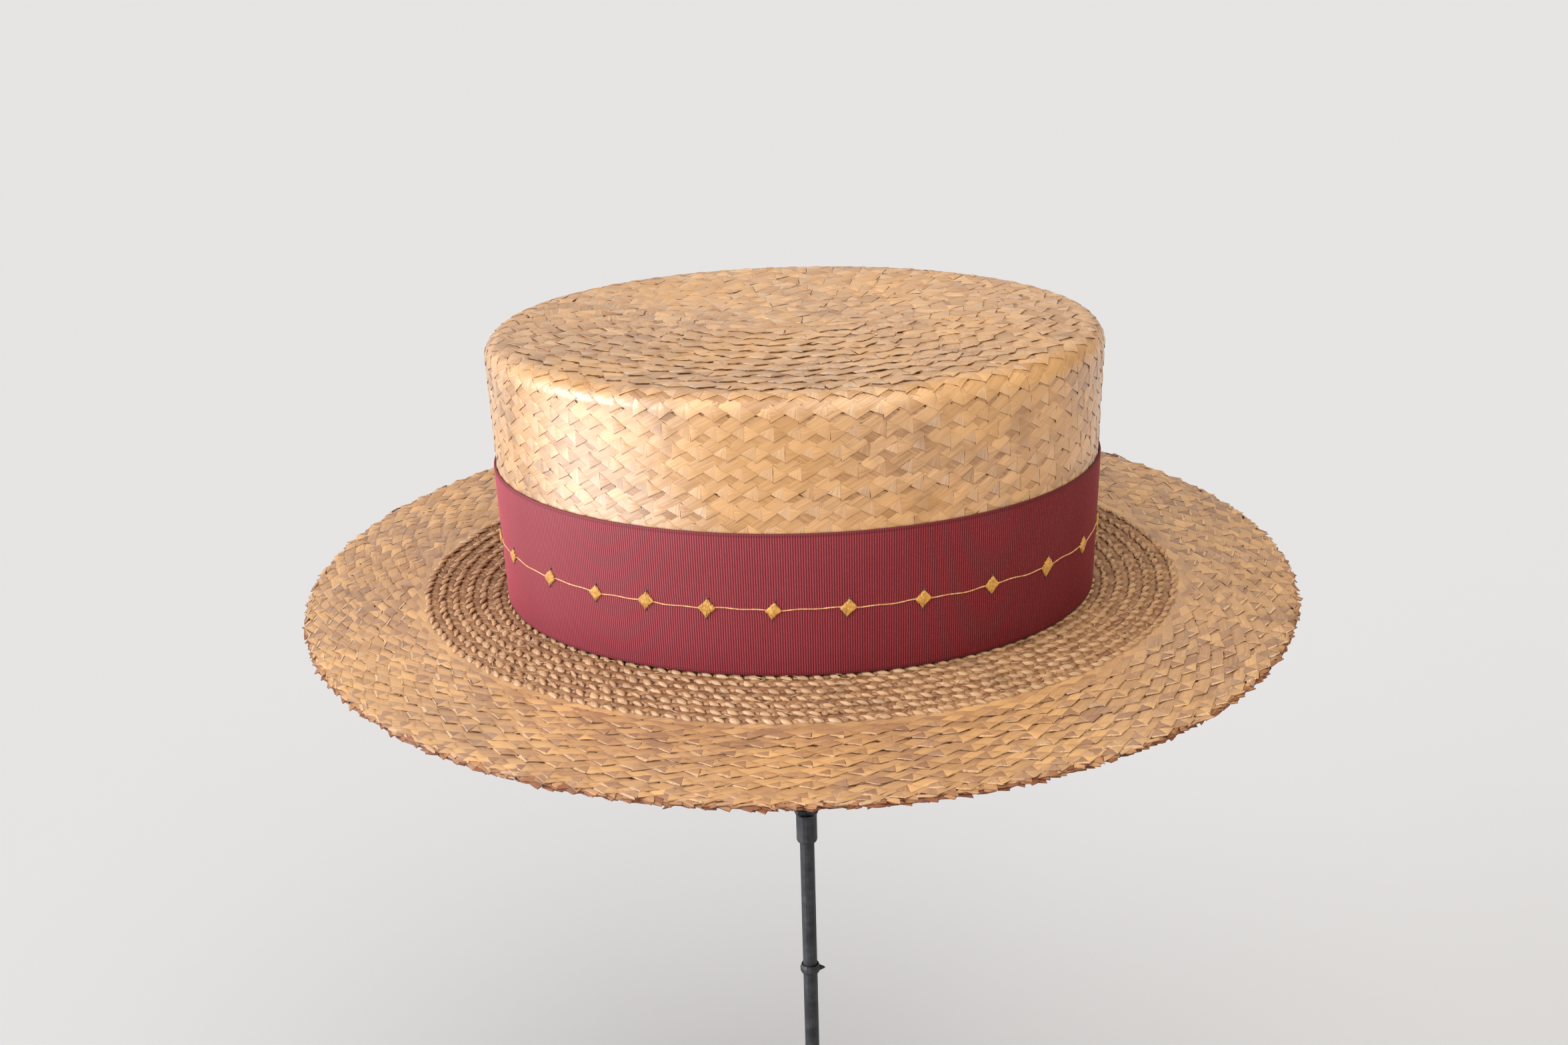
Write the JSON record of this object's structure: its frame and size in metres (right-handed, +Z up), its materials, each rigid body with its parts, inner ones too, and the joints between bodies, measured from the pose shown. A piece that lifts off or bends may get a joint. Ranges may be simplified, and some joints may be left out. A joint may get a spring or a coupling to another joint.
{
  "type": "straw boater hat on a display stand",
  "caption": "Flat-topped straw hat with an oval crown, a wide stiff brim and a ribbon band, carried on a thin rod with a round weighted foot.",
  "frame": {"origin": "centre of the stand's flat underside, on the surface that it stands on", "axes": "+Z up along the rod, +X to the right along the hat's long side, -Y towards the front of the hat in the picture"},
  "size_m": [0.3414, 0.3094, 0.392],
  "materials": {
    "crown_straw": "golden sewn straw plait with a varnished gloss",
    "ring_straw": "narrow beaded rings of fine straw plait, duller than the crown",
    "brim_straw": "coarse sewn straw plait with a ragged edge",
    "ribbon": "burgundy ribbed ribbon, matte",
    "thread": "ochre embroidery thread",
    "iron": "worn matte black iron"
  },
  "bodies": {
    "root": {"crown": "crown_straw", "brim_rings": "ring_straw", "brim_plait": "brim_straw", "hat_band": "ribbon", "stand_base": "iron", "stand_rod": "iron", "stand_knuckle": "iron", "stand_collar": "iron", "stand_pin": "iron", "stand_plate": "iron"}
  },
  "joints": []
}
